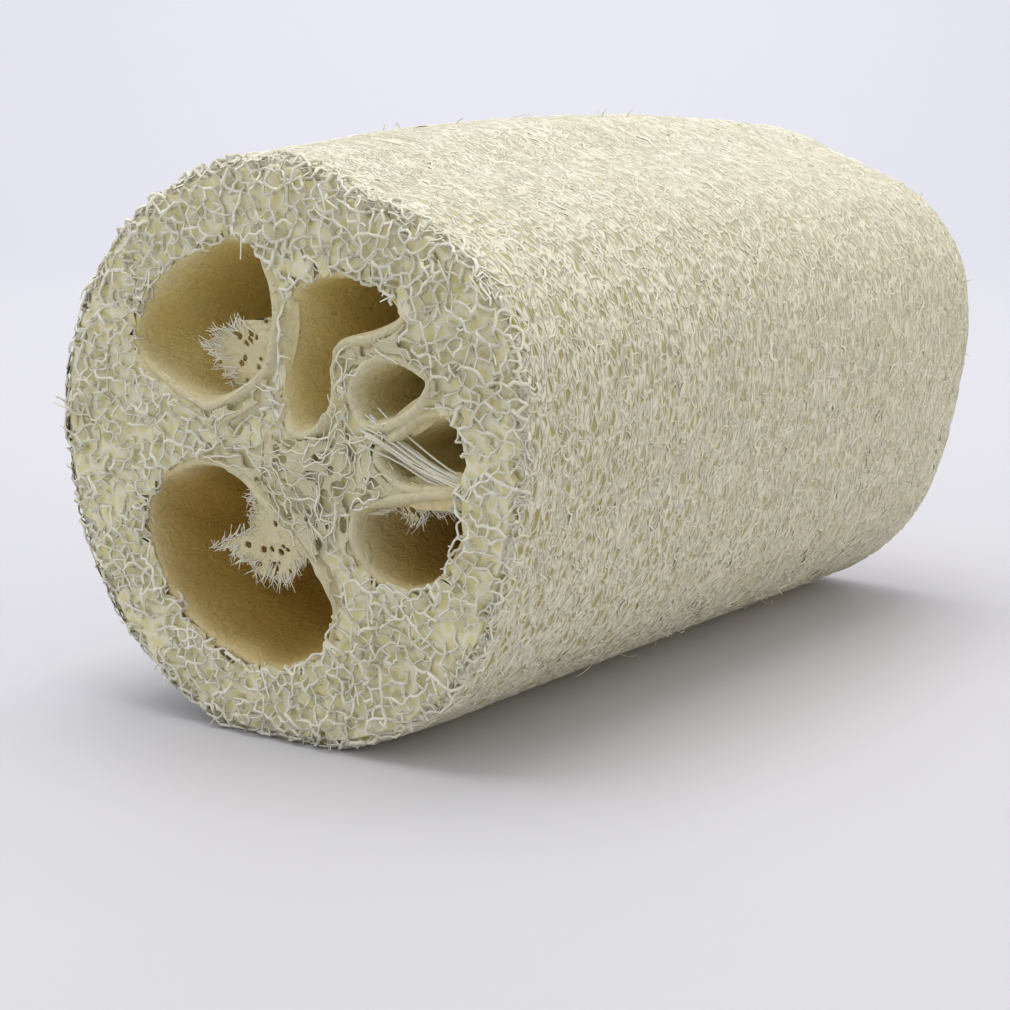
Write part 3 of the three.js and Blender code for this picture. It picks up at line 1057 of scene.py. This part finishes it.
# The outer felt: the plant fibres that still lie free on the matted ground, each about 0.2 mm thick. They run
# round the gourd in short waves, rise out of the ground and sink back into it every few millimetres, where
# they are grown in.
FELT_LENGTH = 4.4
FELT_GAP = 0.85
FELT_STEP = 0.7
FELT_RADIUS = 0.11
FELT_RUBBED = 0.05
FELT_SOFT = 0.7
FELT_SUNK = 0.02
FELT_RIDE = 0.07
FELT_DIVE = 0.2
FELT_DRIFT = 0.35
FELT_LAST = (48.6, 49.6)
GIRTH = 188.0

felt_white = fibre_material("Matted loofah fibre, white", "#dad6bb", "#f3f1e6")
felt_cream = fibre_material("Matted loofah fibre, cream", "#d3ceb2", "#ebe8d9")
felt_straw = fibre_material("Matted loofah fibre, straw", "#c9c3a5", "#e2dfcd")


def felt_layer(draw, deeper):
    """The fibres of one layer: each wanders round the gourd, rides over its neighbours and dives in."""
    rows = int(2 * HALF_LENGTH / FELT_GAP)
    runs = int(GIRTH / FELT_LENGTH)
    row, run = np.meshgrid(np.arange(rows), np.arange(runs), indexing="ij")
    count = row.size
    y = (row.ravel() + draw.uniform(0, 1, count)) * FELT_GAP - HALF_LENGTH
    angle = (run.ravel() + draw.uniform(0, 1, count)) * FELT_LENGTH / GIRTH * 2 * np.pi
    steps = draw.integers(4, 8, count)
    lean, swing = draw.normal(0.05, 0.35, count), draw.uniform(0.6, 1.4, count)
    lean = lean * (1 + 2 * np.clip((np.abs(y) - 45) / 5, 0, 1))
    wave, phase = draw.uniform(2.0, 4.2, count), draw.uniform(0, 6.28, count)
    over, over_phase = draw.uniform(3.5, 7, count), draw.uniform(0, 6.28, count)
    radius = FELT_RADIUS * draw.uniform(0.65, 1.35, count)
    limit = draw.uniform(*FELT_LAST, count)
    angles, ys = [angle], [y]
    for k in range(steps.max()):
        drift = FELT_DRIFT * ripple(30 * np.sin(angle) * 0.4, y * 0.4, 21)
        heading = lean + drift + swing * np.sin(2 * np.pi * k * FELT_STEP / wave + phase)
        angle = angle + FELT_STEP * np.cos(heading) / (GIRTH / 2 / np.pi)
        y = y + FELT_STEP * np.sin(heading)
        angles.append(angle)
        ys.append(y)
    angles, ys = np.array(angles), np.array(ys)
    paths = []
    for i in range(count):
        t = np.arange(steps[i] + 1)
        ends = np.minimum(t, steps[i] - t)
        ride = FELT_RIDE * np.sin(2 * np.pi * t * FELT_STEP / over[i] + over_phase[i])
        rubbed = FELT_RUBBED * np.clip(np.cos(angles[t, i]), 0, 1)
        depth = MAT_DEPTH + FELT_SUNK + deeper + rubbed + ride + FELT_DIVE * (ends == 0)
        kept = np.abs(ys[t, i]) < limit[i]
        if kept.sum() < 3:
            continue
        paths.append((on_skin(angles[t, i], ys[t, i], depth)[kept], radius[i]))
    return paths


draw = np.random.default_rng(31)
for name, material, deeper in (("a", felt_white, 0.0), ("b", felt_cream, 0.03), ("c", felt_straw, 0.06)):
    spin("outer_felt_" + name, felt_layer(draw, deeper), 1, material, FELT_SOFT)

# Loose hairs: single plant fibres that were pulled out of the felt when the peel came off. One end still
# sits in the felt, and the rest stands off it in a short curl.
HAIRS = 200
HAIR_LAST = 49.8
HAIR_ROOT_DEPTH = 0.4
HAIR_RADII = np.linspace(0.08, 0.04, 5)
draw = np.random.default_rng(33)
hairs = []
t = np.linspace(0, 1, 5)
for _ in range(HAIRS):
    length = draw.uniform(1.0, 3.0)
    angles = draw.uniform(0, 2 * np.pi) + length * t * draw.normal(0, 0.7) / 30
    ys = np.clip(draw.uniform(-49.5, 49.5) + length * t * draw.normal(0, 0.6), -HAIR_LAST, HAIR_LAST)
    depth = HAIR_ROOT_DEPTH - draw.uniform(0.4, 1.1) * np.sin(t * draw.uniform(1.2, 3.0))
    hairs.append((on_skin(angles, ys, depth), HAIR_RADII))
spin("loose_hairs", hairs, 2, felt_white)

# The floor is a sweep of pale paper that curves up behind the sponge. Soft light comes from a bright room,
# a large lamp overhead and a warm wall at the right, and the camera stands where the photograph was taken.
# Lengths in this section are in metres.
VIEW_TURN = math.radians(35.59)
VIEW_DOWN = math.radians(11.10)
SWEEP_NEAR = -1.2
SWEEP_FLAT = 0.5
SWEEP_BEND = 0.4
SWEEP_TOP = 1.6
SWEEP_HALF_WIDTH = 1.6

# Matte paper of a cool light grey, so that the floor stays plain and takes a soft shadow.
floor_paper, tree, shader = material_of("Pale seamless paper")
shader.inputs["Base Color"].default_value = linear("#c9c9ce")
shader.inputs["Roughness"].default_value = 0.6
profile = [(SWEEP_NEAR, 0.0), (SWEEP_FLAT, 0.0)]
for turn in np.radians(np.arange(6, 91, 6)):
    profile.append((SWEEP_FLAT + SWEEP_BEND * math.sin(turn), SWEEP_BEND - SWEEP_BEND * math.cos(turn)))
profile.append((SWEEP_FLAT + SWEEP_BEND, SWEEP_TOP))
verts = []
for along, up in profile:
    for aside in (-SWEEP_HALF_WIDTH, SWEEP_HALF_WIDTH):
        x = aside * math.cos(VIEW_TURN) - along * math.sin(VIEW_TURN)
        y = aside * math.sin(VIEW_TURN) + along * math.cos(VIEW_TURN)
        verts.append((x, y, up))
faces = [(2 * k, 2 * k + 1, 2 * k + 3, 2 * k + 2) for k in range(len(profile) - 1)]
floor_mesh = bpy.data.meshes.new("paper_sweep")
floor_mesh.from_pydata(verts, [], faces)
floor_mesh.shade_smooth()
floor_mesh.materials.append(floor_paper)
floor = piece_of("paper_sweep", floor_mesh)

world = bpy.data.worlds.new("Soft room light")
world.use_nodes = True
world.node_tree.nodes["Background"].inputs["Color"].default_value = linear("#f4f4fa")
world.node_tree.nodes["Background"].inputs["Strength"].default_value = 0.72
bpy.context.scene.world = world


def soft_box(name, place, aim, size, watts, colour):
    """A square soft light at place that points at aim, in metres."""
    light = bpy.data.lights.new(name, "AREA")
    light.size = size
    light.energy = watts
    light.color = linear(colour)[:3]
    lamp = bpy.data.objects.new(name, light)
    lamp.visible_camera = False
    lamp.location = place
    lamp.rotation_euler = (Vector(aim) - Vector(place)).to_track_quat("-Z", "Y").to_euler()
    bpy.context.scene.collection.objects.link(lamp)


soft_box("overhead_soft_box", (-0.06, -0.02, 0.85), (0, 0, 0.03), 0.6, 4.9, "#fffdf8")
soft_box("front_fill", (-0.5, -0.7, 0.1), (0, 0, 0.03), 0.6, 0.8, "#ffffff")
soft_box("warm_wall_at_the_right", (0.55, 0.3, 0.13), (0.03, 0, 0.01), 0.4, 0.9, "#ffeeb8")
soft_box("backdrop_light", (-0.25, 0.4, 0.75), (-0.6, 0.8, 0.2), 0.6, 2.8, "#f2f3ff")

camera = bpy.data.cameras.new("photograph_camera")
camera.sensor_fit = "HORIZONTAL"
camera.sensor_width = 36.0
camera.lens = 87.05
camera.clip_start = 0.01
viewer = bpy.data.objects.new("photograph_camera", camera)
viewer.location = (0.1555, -0.2276, 0.0704)
viewer.rotation_euler = (math.radians(90) - VIEW_DOWN, 0, VIEW_TURN)
bpy.context.scene.collection.objects.link(viewer)
bpy.context.scene.camera = viewer
bpy.context.scene.view_settings.view_transform = "Standard"
